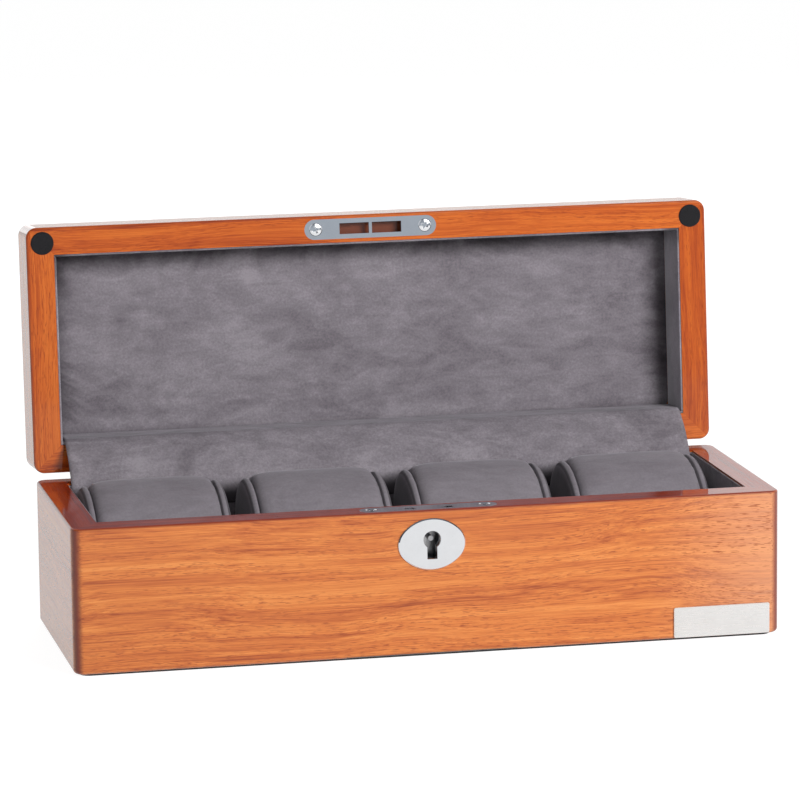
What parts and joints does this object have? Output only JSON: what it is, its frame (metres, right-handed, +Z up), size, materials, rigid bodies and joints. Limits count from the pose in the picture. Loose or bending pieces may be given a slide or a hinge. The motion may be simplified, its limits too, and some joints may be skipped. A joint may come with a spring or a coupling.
{
  "type": "watch box",
  "caption": "Lacquered wooden watch box, lid open, with a row of suede cushions leaning back in cells, a box lock, hinge flap and lined lid.",
  "frame": {"origin": "middle of the base's underside, on the table", "axes": "+X to the right along the front, +Y to the back where the lid is hinged, +Z up"},
  "size_m": [0.33, 0.1609, 0.186],
  "materials": {
    "veneer": "high-gloss clear lacquer over figured veneer",
    "plain_board": "plain board",
    "felt": "felt",
    "lining_suede": "brushed suede cloth on board",
    "cushion_suede": "brushed suede cloth",
    "foam": "foam",
    "polished_chrome": "polished plate",
    "hinge_brass": "satin",
    "lock_steel": "plain",
    "satin_plate": "satin",
    "black_rubber": "matt"
  },
  "bodies": {
    "base": {"base_front_wall": "veneer", "base_back_wall": "veneer", "base_left_wall": "veneer", "base_right_wall": "veneer", "base_bottom_panel": "plain_board", "base_felt": "felt", "base_front_lining": "lining_suede", "base_back_lining": "lining_suede", "base_left_lining": "lining_suede", "base_right_lining": "lining_suede", "base_floor_lining": "lining_suede", "hinge_flap": "lining_suede", "divider_1": "lining_suede", "divider_2": "lining_suede", "divider_3": "lining_suede", "lock_faceplate": "polished_chrome", "escutcheon": "polished_chrome", "lock_screws": "polished_chrome", "hinge_left_base_leaf": "hinge_brass", "hinge_left_pin": "hinge_brass", "hinge_right_base_leaf": "hinge_brass", "hinge_right_pin": "hinge_brass", "base_hinge_screws": "hinge_brass", "lock_case": "lock_steel", "lock_post": "lock_steel", "lock_hook_pivots": "lock_steel", "nameplate": "satin_plate"},
    "lid": {"lid_front_wall": "veneer", "lid_back_wall": "veneer", "lid_left_wall": "veneer", "lid_right_wall": "veneer", "lid_top_panel": "veneer", "lid_front_lining": "lining_suede", "lid_back_lining": "lining_suede", "lid_left_lining": "lining_suede", "lid_right_lining": "lining_suede", "lid_ceiling_pad": "lining_suede", "strike_plate": "polished_chrome", "strike_screws": "polished_chrome", "hinge_left_lid_leaf": "hinge_brass", "hinge_right_lid_leaf": "hinge_brass", "lid_hinge_screws": "hinge_brass", "lid_bumper_left": "black_rubber", "lid_bumper_right": "black_rubber"},
    "hook_left": {"lock_hook_left": "lock_steel"},
    "hook_right": {"lock_hook_right": "lock_steel"},
    "driver": {"lock_driver": "lock_steel"},
    "cushion_1": {"cushion_1_core": "foam", "cushion_1_sleeve": "cushion_suede", "cushion_1_ends": "cushion_suede"},
    "cushion_2": {"cushion_2_core": "foam", "cushion_2_sleeve": "cushion_suede", "cushion_2_ends": "cushion_suede"},
    "cushion_3": {"cushion_3_core": "foam", "cushion_3_sleeve": "cushion_suede", "cushion_3_ends": "cushion_suede"},
    "cushion_4": {"cushion_4_core": "foam", "cushion_4_sleeve": "cushion_suede", "cushion_4_ends": "cushion_suede"}
  },
  "joints": [
    {"name": "lid_hinge", "type": "hinge", "parent": "base", "child": "lid", "pos_m": [0, 0.06, 0.0686], "axis": [-1, 0, 0], "range_deg": [-95, 0], "deforming": ["hinge_flap"]},
    {"name": "cushion_1_lift", "type": "slide", "parent": "base", "child": "cushion_1", "axis": [0, 0, 1], "range_m": [0, 0.085]},
    {"name": "cushion_2_lift", "type": "slide", "parent": "base", "child": "cushion_2", "axis": [0, 0, 1], "range_m": [0, 0.085]},
    {"name": "cushion_3_lift", "type": "slide", "parent": "base", "child": "cushion_3", "axis": [0, 0, 1], "range_m": [0, 0.085]},
    {"name": "cushion_4_lift", "type": "slide", "parent": "base", "child": "cushion_4", "axis": [0, 0, 1], "range_m": [0, 0.085]},
    {"name": "lock_driver_slide", "type": "slide", "parent": "base", "child": "driver", "axis": [0, 0, 1], "range_m": [0, 0.00424]},
    {"name": "hook_right_swing", "type": "hinge", "parent": "base", "child": "hook_right", "pos_m": [0.0165, -0.0515, 0.0619], "axis": [0, 1, 0], "range_deg": [0, 64]},
    {"name": "hook_left_swing", "type": "hinge", "parent": "base", "child": "hook_left", "pos_m": [-0.0165, -0.0515, 0.0619], "axis": [0, -1, 0], "range_deg": [0, 64]}
  ],
  "couplings": [
    {"joint": "hook_right_swing", "follows": "lock_driver_slide", "rad_per_m": 263.48},
    {"joint": "hook_left_swing", "follows": "lock_driver_slide", "rad_per_m": 263.48}
  ]
}
